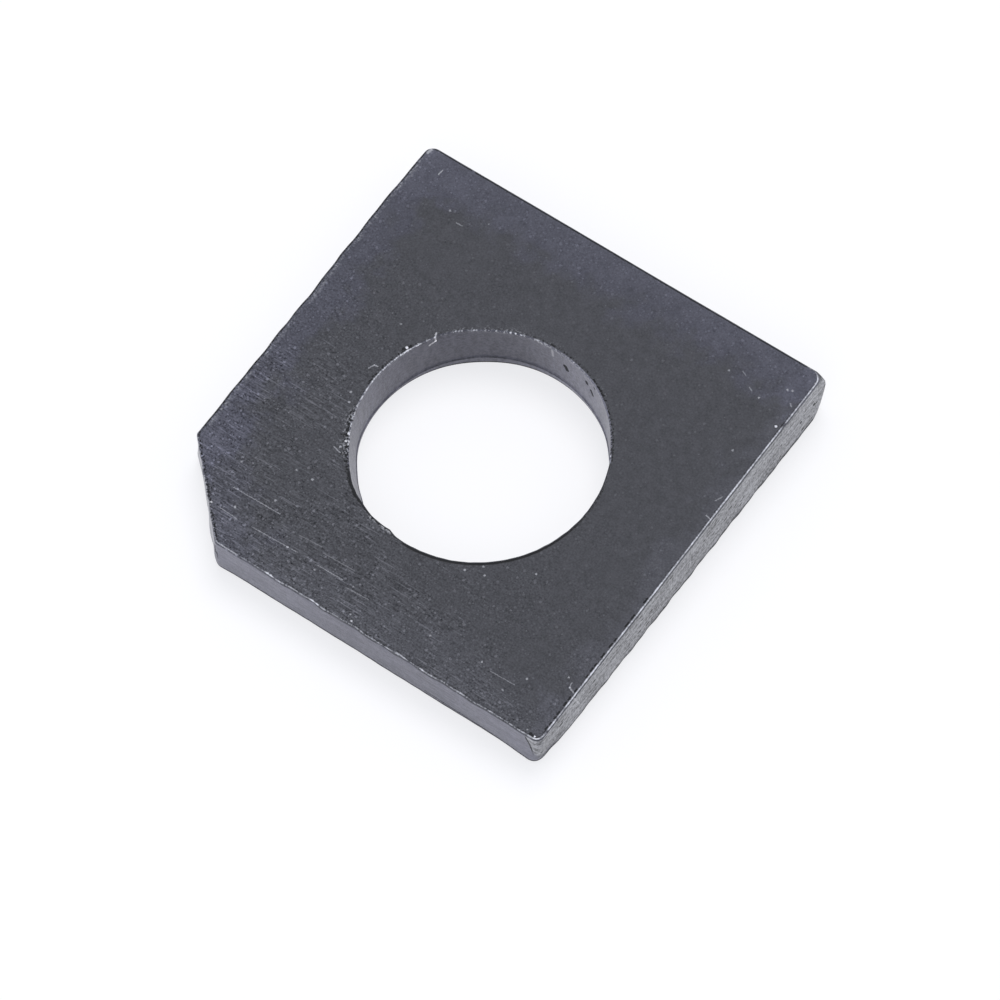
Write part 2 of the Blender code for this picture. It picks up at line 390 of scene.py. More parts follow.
# Marks on the walls: from x, y, z to x, y, z, half width and brightness
WALL_MARKS = [
    (20.45, -15.75, 4.20, 20.45, -15.30, 2.90, 0.10, 0.40),
    (20.45, -15.30, 2.90, 20.45, -15.10, 2.30, 0.12, 0.45),
    (20.45, 19.27, 2.80, 20.45, 19.27, 2.80, 0.22, -0.60),
    (20.45, 17.33, 2.53, 20.45, 17.33, 2.53, 0.20, -0.55),
    # Painted shade: the three dark marks that follow run down the front right corner where the wall turns
    (19.05, -20.80, 3.75, 19.45, -20.80, 2.85, 0.10, -0.60),
    (19.45, -20.80, 2.85, 19.66, -20.79, 1.95, 0.09, -0.55),
    (19.66, -20.79, 1.95, 19.78, -20.77, 1.30, 0.07, -0.30),
    (18.75, -20.80, 3.55, 19.10, -20.80, 2.75, 0.09, 0.16),
    (19.25, -20.80, 3.75, 19.90, -20.70, 2.00, 0.10, 0.28),
    (8.60, -20.80, 0.75, 12.50, -20.80, 0.62, 0.07, -0.60),
    (12.50, -20.80, 0.62, 15.60, -20.80, 0.50, 0.07, -0.50),
    (1.12, 10.20, 3.24, 1.30, 10.19, 2.98, 0.27, -1.50),
    (3.76, 9.70, 3.84, 3.80, 9.69, 3.80, 0.24, -1.50),
    (4.36, 9.43, 3.24, 4.52, 9.38, 3.06, 0.24, -1.50),
    (4.86, 9.13, 4.60, 4.86, 9.13, 4.60, 0.18, -0.60),
    (-0.20, 10.10, 4.75, -0.15, 10.10, 3.80, 0.14, 0.35),
    (-9.16, 5.76, 5.09, -9.01, 5.39, 5.05, 0.10, 1.00),
    (-9.01, 5.39, 5.05, -8.98, 5.37, 4.50, 0.12, 0.80),
    (-8.98, 5.37, 4.50, -9.28, 4.87, 4.25, 0.13, 0.80),
    (-13.15, -20.65, 3.40, -13.05, -20.72, 2.40, 0.13, -0.70),
    (-12.85, -20.80, 2.60, -12.75, -20.80, 1.60, 0.11, -0.60),
]

# How far the marks waver to the sides and how finely, and the brightness above which they get dark rings
MARK_WAVER = 0.20
WAVER_SCALE = 9.0
RINGED_ABOVE = 0.55

# Camera: high above the washer, in front of it and to its right
CAMERA_PLACE = (212.386, -260.139, 599.694)
CAMERA_AIM = (3.81, -3.205, 2.5)
CAMERA_ROLL = math.radians(-3.952)
CAMERA_LENS = 291.6
SENSOR_WIDTH = 36.0

# How much lighter, as a painted sheen, and how much bluer the rolled face is along each side, and how far
# inland that reaches
SHEEN_AND_TINT_MARGINS = {
    "front": (0.15, 0.1, 5.5),
    "right": (0.18, 0.2, 3.0),
    "back": (0.25, 0.9, 6.0),
    "left": (0.18, 0.9, 5.0),
    "clip": (0.14, 0.5, 6.0),
}

# Steel: its darkest and its bluest black, the rolled, sheared and punched walls, and the bare metal.
# The rolled and sheared walls' greys are lighter than the face's black partly as their own finish and partly
# as painted light from the floor
BLACK = (0.083, 0.083, 0.092, 1.0)
BLUE_BLACK = (0.084, 0.084, 0.105, 1.0)
ROLLED_GREY_AND_FLOOR_LIGHT = (0.205, 0.205, 0.243, 1.0)
SHEARED_GREY_AND_FLOOR_LIGHT = (0.252, 0.254, 0.270, 1.0)
PUNCHED_GREY = (0.108, 0.108, 0.132, 1.0)
BARE = (0.45, 0.45, 0.48, 1.0)
STEEL_METALLIC = 0.75
STEEL_ROUGHNESS = 0.44
# How much lighter the land is than the torn wall, partly as burnish and partly as a painted reflection of
# the floor
LAND_BURNISH_AND_REFLECTION = 1.35
# The rolled front wall is darkest over this X. The sheared wall starts in this range of X plus a share of Z
FRONT_MIDDLE = 5.5
SHEAR_START = 20.2
SHEAR_FULL = 20.6
SHEAR_LEAN = 0.36
# Height of the relief of the faces' grain, the outer walls' streaks and the torn wall
GRAIN_RELIEF = 0.02
STREAK_RELIEF = 0.05
TEAR_RELIEF = 0.05

# Floor and light; the lamps' places and sizes are in metres, their power in watts
FLOOR_SIZE = 4.0
FLOOR_COLOUR = (0.92, 0.92, 0.94, 1.0)
FLOOR_WHITE = (0.98, 0.98, 1.0, 1.0)
FLOOR_GLOW = 0.72
WORLD_COLOUR = (0.93, 0.97, 1.04, 1.0)
HORIZON_LIGHT = 0.95
ZENITH_LIGHT = 0.72
LAMP_COLOUR = (1.0, 0.98, 0.95)
LAMPS = [
    ("behind", (-0.13, 0.40, 0.85), 0.6, 4.5),
    ("in_front", (0.35, -0.70, 0.75), 0.6, 1.2),
]


def top_height(y):
    """Height of the inclined top face over y."""
    return THIN_EDGE + (THICK_EDGE - THIN_EDGE) * (y + PLATE_Y / 2) / PLATE_Y


def corner_points(bulge):
    """The five sharp corners of the plate, anticlockwise from the clip's front end."""
    left = -PLATE_X / 2
    right = PLATE_X / 2
    front = -PLATE_Y / 2
    back = PLATE_Y / 2 + bulge
    return np.array(
        [
            (left + CLIP_LEG, front),
            (right, front),
            (right, back),
            (left, back - BACK_SKEW),
            (left, front + CLIP_LEG),
        ]
    )


def corner_radius(name, share):
    """Radius of an upright corner at this share of the plate's height."""
    under, waist, top = CORNER_RADII[name]
    if share < CORNER_WAIST:
        return under + (waist - under) * share / CORNER_WAIST
    return waist + (top - waist) * (share - CORNER_WAIST) / (1 - CORNER_WAIST)


def wave(waves, along):
    """Sum of sine waves at distances along a side."""
    return sum(height * np.sin(math.tau * (along / length + phase)) for height, length, phase in waves)


def unit(vector):
    """The vector at length one."""
    return vector / np.linalg.norm(vector)


def side_steps(index):
    """Number of steps along the side that starts at this corner."""
    corners = corner_points(0)
    return round(np.linalg.norm(corners[(index + 1) % SIDES] - corners[index]) / POINT_SPACING)


def outline(share, inset):
    """Points of the plate's outline at a share of its height, moved inwards by inset."""
    corners = corner_points(BACK_BULGE * 4 * share * (1 - share))
    plain = corner_points(0)
    pieces = []
    for index, corner in enumerate(corners):
        following = (index + 1) % SIDES
        along_in = unit(corner - corners[index - 1])
        along_out = unit(corners[following] - corner)
        along_next = unit(corners[(following + 1) % SIDES] - corners[following])
        turn = math.acos(along_in @ along_out)
        next_turn = math.acos(along_out @ along_next)
        normal_in = np.array((along_in[1], -along_in[0]))
        normal = np.array((along_out[1], -along_out[0]))

        radius = corner_radius(CORNER_NAMES[index], share)
        reach = radius * math.tan(turn / 2)
        centre = corner - along_in * reach - normal_in * radius
        angles = math.atan2(normal_in[1], normal_in[0]) + turn * np.linspace(0, 1, CORNER_STEPS + 1)
        pieces.append(centre + np.column_stack((np.cos(angles), np.sin(angles))) * (radius - inset))

        next_reach = corner_radius(CORNER_NAMES[following], share) * math.tan(next_turn / 2)
        start = corner + along_out * reach
        end = corners[following] - along_out * next_reach
        length = np.linalg.norm(plain[following] - plain[index])
        fraction = np.arange(1, side_steps(index)) / side_steps(index)
        side = SIDE_NAMES[index]
        offset = wave(SIDE_WAVES[side], fraction * length)
        offset = offset + share**2 * wave(TOP_WAVES.get(side, []), fraction * length)
        offset = offset + wave(EXTRA_WAVES.get(side, []), fraction * length)
        offset = offset + (1 - share) ** 2 * wave(UNDER_WAVES.get(side, []), fraction * length)
        offset = offset * np.sin(math.pi * fraction) ** 0.5 - inset
        pieces.append(start + np.outer(fraction, end - start) + np.outer(offset, normal))
    return np.concatenate(pieces)


def outline_sides():
    """The side that each point of the outline lies on; most corners count with the side after them."""
    counts = np.array([CORNER_STEPS + side_steps(index) for index in range(SIDES)])
    right = SIDE_NAMES.index("right")
    counts[right:right + 2] += (CORNER_STEPS, -CORNER_STEPS)
    return np.repeat(SIDE_NAMES, counts)


def ring(points, height):
    """Points of the plane at their heights."""
    return np.column_stack((points, np.broadcast_to(height, len(points))))


def between(first, last, offsets, steps):
    """Rings between two rings: near each one at these distances from it, and evenly in the middle."""
    gap = np.linalg.norm(last - first, axis=1)
    near = [offset / gap for offset in offsets]
    middle = [near[-1] + (1 - 2 * near[-1]) * step / steps for step in range(1, steps)]
    shares = near + middle + [1 - share for share in reversed(near)]
    return [first + (last - first) * share[:, None] for share in shares]


def heading_of(points):
    """Angle of each point round the hole, in degrees from nought to 360."""
    return np.degrees(np.arctan2(points[..., 1] - BORE_Y, points[..., 0] - BORE_X)) % 360


def steel_rings():
    """Rings of points round the section, and the kind of surface that each one lies on."""
    rings = []
    kinds = []

    def add(kind, points):
        rings.append(points)
        kinds.append(kind)

    for step in range(ROUND_STEPS + 1):
        angle = math.pi / 2 * step / ROUND_STEPS
        add("roll", ring(outline(0, ROLL_RUN * (1 - math.sin(angle))), ROLL_RISE * (1 - math.cos(angle))))
    for share in WALL_SHARES:
        points = outline(share, 0)
        add("wall", ring(points, share * top_height(points[:, 1])))
    for step in range(ROUND_STEPS + 1):
        angle = math.pi / 2 * step / ROUND_STEPS
        points = outline(1, TOP_ROUND * (1 - math.cos(angle)))
        add("edge", ring(points, top_height(points[:, 1]) + TOP_ROUND * (math.sin(angle) - 1)))

    heading = heading_of(rings[-1])
    direction = np.column_stack((np.cos(np.radians(heading)), np.sin(np.radians(heading))))
    angles, reaches = np.array(RIM).T[:2]
    reach = np.interp(heading, angles, reaches)

    def bore_ring(radius, height):
        return ring(np.array((BORE_X, BORE_Y)) + direction * np.reshape(radius, (-1, 1)), height)

    rim = bore_ring(BORE_RADIUS + MOUTH_ROUND + reach, 0)
    rim[:, 2] = top_height(rim[:, 1])
    for points in between(rings[-1], rim, EDGE_OFFSETS, FACE_STEPS):
        add("face", points)
    for step in range(ROUND_STEPS + 1):
        angle = math.pi / 2 * step / ROUND_STEPS
        radius = BORE_RADIUS + reach + MOUTH_ROUND * (1 - math.sin(angle))
        add("mouth", bore_ring(radius, rim[:, 2] - MOUTH_ROUND * (1 - math.cos(angle))))
    land = BORE_RADIUS - LAND_NARROWING
    land_top = np.interp(heading, *np.array(LAND_TOPS).T)
    throat = rim[:, 2] - MOUTH_ROUND
    for share in BORE_SHARES:
        height = throat + (land_top - throat) * share
        radius = BORE_RADIUS + (land + TEAR_STEP - BORE_RADIUS) * share
        add("bore", bore_ring(radius + reach * (1 - share) ** 3, height))
    add("bore", bore_ring(land + TEAR_STEP, land_top))
    for share in LAND_SHARES:
        top = land_top - TEAR_STEP
        add("land", bore_ring(land, top + (BORE_ROLL - top) * share))
    for step in range(ROUND_STEPS):
        angle = math.pi / 2 * step / (ROUND_STEPS - 1)
        add("lip", bore_ring(land + BORE_ROLL * (1 - math.cos(angle)), BORE_ROLL * (1 - math.sin(angle))))
    for points in between(rings[-1], rings[0], UNDER_OFFSETS, UNDER_STEPS):
        add("under", points)
    return np.array(rings), np.array(kinds)


def normals_of(points):
    """Outward unit normals of a closed grid of points (rings, columns)."""
    up = np.roll(points, -1, axis=0) - np.roll(points, 1, axis=0)
    onward = np.roll(points, -1, axis=1) - np.roll(points, 1, axis=1)
    normal = np.cross(onward, up)
    return normal / np.maximum(np.linalg.norm(normal, axis=2, keepdims=True), 1e-12)


def ripple(points, along, upward):
    """Smooth noise from nought to one at each point, with hollows of these sizes."""
    scaled = points / (along, along, upward)
    flat = [noise.noise(point) for point in scaled.reshape(-1, 3).tolist()]
    return 0.5 + 0.5 * np.array(flat).reshape(points.shape[:-1])


def uneven(points, kinds):
    """The surface with its unevenness and hollows pressed in."""
    normals = normals_of(points)
    depth = np.zeros(points.shape[:2])
    for kind, layers in UNEVENNESS.items():
        rows = kinds == kind
        for deep, along, upward in layers:
            depth[rows] += deep * ripple(points[rows], along, upward)
    for x, y, z, radius, deep in HOLLOWS:
        away = np.linalg.norm(points - (x, y, z), axis=2)
        depth += deep * np.exp(-((away / radius) ** 2))
    depth[kinds == "under"] = 0
    depth[0] = 0
    points = points - depth[..., None] * normals
    points[..., 2] = np.maximum(points[..., 2], 0)
    return points


def edge_wear_and_painted_light(wear_and_painted_light, chips, points, kinds):
    """Fill in the wear, the painted shade and highlights, and the chips of the lower and the upper outer
    edge and of the walls between.
    """
    sides = outline_sides()

    def along_sides(values):
        """Each side's values at its columns, which pass gently into the next one's at the corners."""
        table = np.array([values[side] for side in sides]).T
        reach = CORNER_STEPS // 2
        return np.mean([np.roll(table, shift, axis=-1) for shift in range(-reach, reach + 1)], axis=0)

    edge = np.nonzero(kinds == "edge")[0]
    rows = np.arange(edge[0], edge[0] + len(SPOT_ROWS))
    wear_and_painted_light[:edge[0]] = along_sides(WALL_WEAR)
    back = np.nonzero(sides == "back")[0][0]
    # Painted shade: a dark outline down the upright corner between the right and the back wall
    wear_and_painted_light[:edge[0], back - CORNER_STEPS // 2:back + 1] = UPRIGHT_PAINTED_SHADE
    wear_and_painted_light[rows] = along_sides(EDGE_WEAR_AND_PAINTED_LIGHT)
    chips[rows] = np.outer(CHIP_ROWS, along_sides(EDGE_CHIPS))
    # Painted shade: the black line along the rolled lower edge
    wear_and_painted_light[:len(ROLL_PAINTED_SHADE)] = np.minimum(wear_and_painted_light[:len(ROLL_PAINTED_SHADE)], np.array(ROLL_PAINTED_SHADE)[:, None])

    line = points[edge[-3]]
    for side, place, half, bright in EDGE_SPOTS:
        along = line[:, 0] if side in ("front", "back") else line[:, 1]
        spot = np.exp(-(((along - place) / half) ** 2)) * (sides == side)
        wear_and_painted_light[rows] += bright * np.outer(SPOT_ROWS, spot)


def rim_wear_and_painted_light(wear_and_painted_light, chips, points, kinds):
    """Fill in the wear, the painted shade and highlights and the chips of the hole's upper rim, and the
    levels of its land and lip.
    """
    mouth = np.nonzero(kinds == "mouth")[0]
    heading = heading_of(points[mouth[0]])
    angles, _, *levels = np.array(RIM).T
    beside, rim, below, chipped = (np.interp(heading, angles, level) for level in levels)
    for angle, half, bright in RIM_SPOTS:
        apart = (heading - angle + 180) % 360 - 180
        rim = rim + bright * np.exp(-((apart / half) ** 2))
    wear_and_painted_light[mouth[0] - 2:mouth[0]] = beside
    wear_and_painted_light[mouth] = np.where(rim > 0, np.outer(RIM_ROWS, rim), rim)
    wear_and_painted_light[mouth[-1] + 1:mouth[-1] + 3] = below
    chips[mouth[0] - 2:mouth[-1] + 2] = chipped
    chips[mouth[0] - 3] = 0.6 * chipped
    chips[mouth[0] - 4] = 0.3 * chipped

    land = np.nonzero(kinds == "land")[0]
    wear_and_painted_light[land] = np.array(LAND_LINE_AND_REFLECTION)[:, None]
    wear_and_painted_light[land[0] - 1] = TEAR_END_WEAR
    # Painted shade: a black line along the rolled lip at the hole's lower edge
    wear_and_painted_light[kinds == "lip"] = LIP_PAINTED_SHADE


def make_steel(material):
    """The washer's surface as one closed mesh, which stands for the CAD solid."""
    points, kinds = steel_rings()
    wear_and_painted_light = np.zeros(points.shape[:2])
    chips = np.zeros(points.shape[:2])
    edge_wear_and_painted_light(wear_and_painted_light, chips, points, kinds)
    rim_wear_and_painted_light(wear_and_painted_light, chips, points, kinds)
    points = uneven(points, kinds)
    rows, columns = points.shape[:2]
    index = np.arange(rows * columns).reshape(rows, columns)
    onward = np.roll(index, -1, axis=1)
    corners = (index, onward, np.roll(onward, -1, axis=0), np.roll(index, -1, axis=0))
    quads = np.stack(corners, axis=-1).reshape(-1, 4)

    mesh = bpy.data.meshes.new("washer_steel")
    mesh.vertices.add(rows * columns)
    mesh.vertices.foreach_set("co", (points * MM).astype(np.float32).ravel())
    mesh.loops.add(quads.size)
    mesh.loops.foreach_set("vertex_index", quads.astype(np.int32).ravel())
    mesh.polygons.add(len(quads))
    mesh.polygons.foreach_set("loop_start", np.arange(0, quads.size, 4, dtype=np.int32))
    mesh.update(calc_edges=True)
    mesh.validate()
    mesh.shade_smooth()

    def rows_of(*names):
        return np.repeat(np.isin(kinds, names).astype(float)[:, None], columns, axis=1)

    values = {
        "wall": rows_of("roll", "wall"),
        "bore": rows_of("bore", "land", "lip", "mouth"),
        "land": rows_of("land"),
        "wear_and_painted_light": wear_and_painted_light,
        "chips": chips,
    }
    for name, value in values.items():
        attribute = mesh.attributes.new(name, "FLOAT", "POINT")
        attribute.data.foreach_set("value", value.astype(np.float32).ravel())

    mesh.materials.append(material)
    steel = bpy.data.objects.new("washer_steel", mesh)
    bpy.context.scene.collection.objects.link(steel)
    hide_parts("taper_washer")
    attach(steel, "root")
    return steel


class Nodes:
    """The nodes of one material or world, with short ways to add the kinds that are used most."""

    def __init__(self, owner):
        owner.use_nodes = True
        self.tree = owner.node_tree
        self.tree.nodes.clear()

    def add(self, kind, inputs=None, **settings):
        """A new node with these settings, its inputs set to values or linked to sockets."""
        node = self.tree.nodes.new(kind)
        for name, value in settings.items():
            setattr(node, name, value)
        for socket, value in (inputs or {}).items():
            if isinstance(value, bpy.types.NodeSocket):
                self.tree.links.new(value, node.inputs[socket])
            else:
                node.inputs[socket].default_value = value
        return node

    def math(self, operation, first, second=0.0):
        """Result of a sum, product or other operation."""
        return self.add("ShaderNodeMath", {0: first, 1: second}, operation=operation).outputs[0]

    def plus(self, first, *others):
        """Sum of two or more numbers."""
        for other in others:
            first = self.math("ADD", first, other)
        return first

    def times(self, first, *others):
        """Product of two or more numbers."""
        for other in others:
            first = self.math("MULTIPLY", first, other)
        return first

    def vector(self, operation, first, second, output="Vector"):
        """Result of an operation on two vectors."""
        node = self.add("ShaderNodeVectorMath", {0: first, 1: second}, operation=operation)
        return node.outputs[output]

    def spread(self, value, low, high, first=0.0, last=1.0):
        """Value carried smoothly from the range low to high onto the range first to last.

        A smooth step stays inside its range, and a clamp on every one of them fills the renderer's stack.
        """
        inputs = {"Value": value, "From Min": low, "From Max": high, "To Min": first, "To Max": last}
        node = self.add("ShaderNodeMapRange", inputs, interpolation_type="SMOOTHSTEP", clamp=False)
        return node.outputs["Result"]

    def attribute(self, name):
        """A number that the mesh keeps for each of its points."""
        return self.add("ShaderNodeAttribute", attribute_name=name, attribute_type="GEOMETRY").outputs["Fac"]

    def stretched(self, place, x, y, z):
        """Place with its axes scaled, which makes a texture on it so much finer along them."""
        return self.add("ShaderNodeMapping", {"Vector": place, "Scale": (x, y, z)}).outputs["Vector"]

    def noise(self, place, size, detail=2.0, roughness=0.5):
        """Soft noise about one half, with features of this size."""
        inputs = {"Vector": place, "Scale": 1 / size, "Detail": detail, "Roughness": roughness}
        return self.add("ShaderNodeTexNoise", inputs).outputs["Fac"]

    def specks(self, place, spacing, radius, rarity, ragged=1.0, dimensions="3D"):
        """Specks up to this radius, about so far apart: one inside, below nought close round them."""
        inputs = {"Vector": place, "Scale": 1 / spacing}
        cells = self.add("ShaderNodeTexVoronoi", inputs, voronoi_dimensions=dimensions)
        chance = self.add("ShaderNodeSeparateColor", {0: cells.outputs["Color"]}).outputs[0]
        reach = self.times(self.math("POWER", chance, rarity), radius / spacing)
        away = self.times(self.math("DIVIDE", cells.outputs["Distance"], reach), ragged)
        return self.plus(self.spread(away, 0.5, 1.1, 1.3, 0.0), self.spread(away, 1.0, 1.9, -0.3, 0.0))

    def mark(self, place, start, end, half_width, ringed):
        """One inside a short straight mark, and below nought close round it where it is ringed."""
        if start == end:
            away = self.vector("DISTANCE", place, start, "Value")
        else:
            along = Vector(end) - Vector(start)
            offset = -Vector(start).dot(along) / along.length_squared
            share = self.vector("DOT_PRODUCT", place, along / along.length_squared, "Value")
            share = self.math("MINIMUM", self.math("MAXIMUM", self.plus(share, offset), 0.0), 1.0)
            reach = self.add("ShaderNodeVectorMath", {0: along, "Scale": share}, operation="SCALE")
            nearest = self.vector("ADD", reach.outputs["Vector"], start)
            away = self.vector("DISTANCE", place, nearest, "Value")
        core = self.spread(away, 0.5 * half_width, 1.2 * half_width, 1.4, 0.0)
        if ringed:
            core = self.plus(core, self.spread(away, 1.1 * half_width, 2.2 * half_width, -0.4, 0.0))
        return core

    def mix(self, share, first, last):
        """Colour between two colours."""
        return self.add("ShaderNodeMix", {0: share, 6: first, 7: last}, data_type="RGBA").outputs[2]

    def shade(self, colour, value):
        """Colour made lighter or darker by a factor."""
        grey = self.add("ShaderNodeCombineColor", {0: value, 1: value, 2: value}).outputs[0]
        inputs = {0: 1.0, 6: colour, 7: grey}
        return self.add("ShaderNodeMix", inputs, data_type="RGBA", blend_type="MULTIPLY").outputs[2]


def inland(nodes, place, side):
    """Distance of a place from one of the plate's sides, in millimetres."""
    corners = corner_points(0)
    index = SIDE_NAMES.index(side)
    start = corners[index]
    along = unit(corners[(index + 1) % SIDES] - start)
    inwards = Vector((-along[1], along[0], 0.0))
    away = nodes.vector("DOT_PRODUCT", place, inwards, "Value")
    return nodes.plus(away, -inwards.dot(Vector((start[0], start[1], 0.0))))


def face_colour(nodes, place, axes):
    """Colour of the rolled face: margins with a painted sheen that are also bluer, grain, rolling scratches
    and specks.
    """
    clouds = nodes.spread(nodes.noise(place, 2.8, 3.0, 0.6), 0.3, 0.7, -1.6, 1.6)
    # Painted sheen: the face is made lighter along its sides; it is made bluer there too
    painted_sheen = 1.0
    bluer = 0.0
    for side, (bright, bluish, reach) in SHEEN_AND_TINT_MARGINS.items():
        away = nodes.plus(inland(nodes, place, side), clouds)
        painted_sheen = nodes.plus(nodes.spread(away, 0.3, reach, bright, 0.0), painted_sheen)
        bluer = nodes.plus(nodes.spread(away, 0.35 * reach, 0.95 * reach, bluish, 0.0), bluer)
    colour = nodes.mix(nodes.math("MINIMUM", bluer, 1.0), BLACK, BLUE_BLACK)

    # Everything is coarser towards the thin edge and the clip
    across = nodes.plus(nodes.times(axes["X"], 0.6), axes["Y"])
    patchy = nodes.spread(nodes.noise(place, 3.5, 2.0), 0.3, 0.7, -6.0, 6.0)
    across = nodes.plus(across, patchy)
    coarse = nodes.spread(across, -26.0, 12.0, 1.0, 0.42)
    speckled = nodes.spread(across, -26.0, 6.0, 1.1, 0.22)
    speckled = nodes.plus(speckled, nodes.times(bluer, 0.22))

    soft = nodes.noise(place, 0.17, 2.0, 0.6)
    grain = nodes.spread(soft, 0.25, 0.75, -0.42, 0.42)
    ragged = nodes.spread(soft, 0.3, 0.7, 0.5, 1.7)
    short = nodes.noise(nodes.stretched(place, 1.1, 6.0, 1.0), 1.0, 2.0, 0.6)
    short = nodes.spread(short, 0.3, 0.7, -0.22, 0.30)
    scratches = nodes.noise(nodes.stretched(place, 0.40, 6.5, 1.0), 1.0, 2.0)
    scratches = nodes.times(nodes.spread(scratches, 0.60, 0.70), 0.9)
    rolled = nodes.times(nodes.plus(short, scratches), nodes.spread(across, -22.0, -4.0, 1.0, 0.0))
    fine = nodes.times(nodes.specks(place, 0.55, 0.14, 0.9, ragged, "2D"), 0.8)
    medium = nodes.times(nodes.specks(place, 1.3, 0.19, 1.1, ragged, "2D"), 1.2)
    rough = nodes.plus(nodes.times(grain, coarse), nodes.times(nodes.plus(fine, medium), speckled))

    large = nodes.times(nodes.specks(place, 2.1, 0.17, 1.2, ragged, "2D"), 0.45)
    mottled = nodes.spread(nodes.noise(place, 1.0, 3.0, 0.6), 0.3, 0.7, -0.07, 0.07)
    value = nodes.times(nodes.plus(1.0, rolled, rough, large, mottled), painted_sheen)
    return nodes.shade(colour, value), coarse, grain


def wall_colours(nodes, place, axes):
    """Colours of the rolled, the sheared and the punched walls, with their streaks and mottle, and painted
    light towards the right and the front of the punched wall.
    """
    streaks = nodes.noise(nodes.stretched(place, 0.35, 0.35, 3.2), 1.0, 4.0, 0.65)
    mottled = nodes.noise(place, 0.28, 3.0, 0.65)
    blotches = nodes.spread(nodes.noise(place, 0.8, 3.0, 0.6), 0.3, 0.7, -0.08, 0.08)
    value = nodes.plus(1.0, nodes.spread(streaks, 0.3, 0.7, -0.10, 0.10), blotches)
    value = nodes.plus(value, nodes.spread(mottled, 0.3, 0.7, -0.08, 0.08))
    from_middle = nodes.math("ABSOLUTE", nodes.plus(axes["X"], -FRONT_MIDDLE))
    value = nodes.plus(value, nodes.spread(from_middle, 3.0, 12.0, -0.06, 0.07))
    # The rolled wall's grey is partly painted light from the floor
    rolled = nodes.shade(ROLLED_GREY_AND_FLOOR_LIGHT, value)

    pits = nodes.specks(nodes.stretched(place, 1.0, 0.6, 1.0), 0.6, 0.2, 1.2)
    value = nodes.plus(1.0, nodes.spread(streaks, 0.3, 0.7, -0.42, 0.42), blotches, nodes.times(pits, -0.8))
    value = nodes.plus(value, nodes.spread(mottled, 0.3, 0.7, -0.52, 0.52))
    value = nodes.plus(value, nodes.spread(axes["Y"], -5.0, 20.0, 0.0, 0.08))
    # The sheared wall's grey is partly painted light from the floor
    sheared = nodes.shade(SHEARED_GREY_AND_FLOOR_LIGHT, value)

    tears = nodes.noise(nodes.stretched(place, 1.8, 1.8, 0.45), 1.0, 3.0, 0.6)
    value = nodes.plus(nodes.times(tears, 0.35), nodes.times(mottled, 0.65))
    value = nodes.spread(value, 0.3, 0.7, 0.72, 1.28)
    # Painted light: the punched wall is made lighter towards the right and the front of the hole
    painted_bore_light = nodes.spread(axes["X"], -5.0, 5.0, 0.0, 1.05)
    painted_bore_light = nodes.plus(painted_bore_light, nodes.spread(axes["Y"], 7.0, -5.0, 0.0, 0.55))
    punched = nodes.shade(PUNCHED_GREY, nodes.times(value, nodes.plus(0.9, painted_bore_light)))
    across = nodes.plus(axes["X"], nodes.times(axes["Z"], SHEAR_LEAN))
    outside = nodes.mix(nodes.spread(across, SHEAR_START, SHEAR_FULL), rolled, sheared)
    return outside, punched, streaks, tears


def add_marks(nodes, place):
    """Brightness that the separate marks and specks add; it is below nought in the dark ones."""
    inputs = {"Vector": place, "Scale": WAVER_SCALE, "Detail": 2.0}
    waver = nodes.add("ShaderNodeTexNoise", inputs).outputs["Color"]
    waver = nodes.vector("SUBTRACT", waver, (0.5, 0.5, 0.5))
    waver = nodes.vector("MULTIPLY", waver, (MARK_WAVER, MARK_WAVER, MARK_WAVER))
    place = nodes.vector("ADD", place, waver)
    total = 0.0
    marks = [((x, y, top_height(y)), (u, v, top_height(v)), *rest) for x, y, u, v, *rest in FACE_MARKS]
    marks += [((x, y, top_height(y)), (x, y, top_height(y)), *rest) for x, y, *rest in FACE_SPECKS]
    marks += [((x, y, z), (u, v, w), *rest) for x, y, z, u, v, w, *rest in WALL_MARKS]
    for start, end, half_width, bright in marks:
        mark = nodes.mark(place, start, end, half_width, bright > RINGED_ABOVE)
        total = nodes.plus(total, nodes.times(mark, bright))
    return total


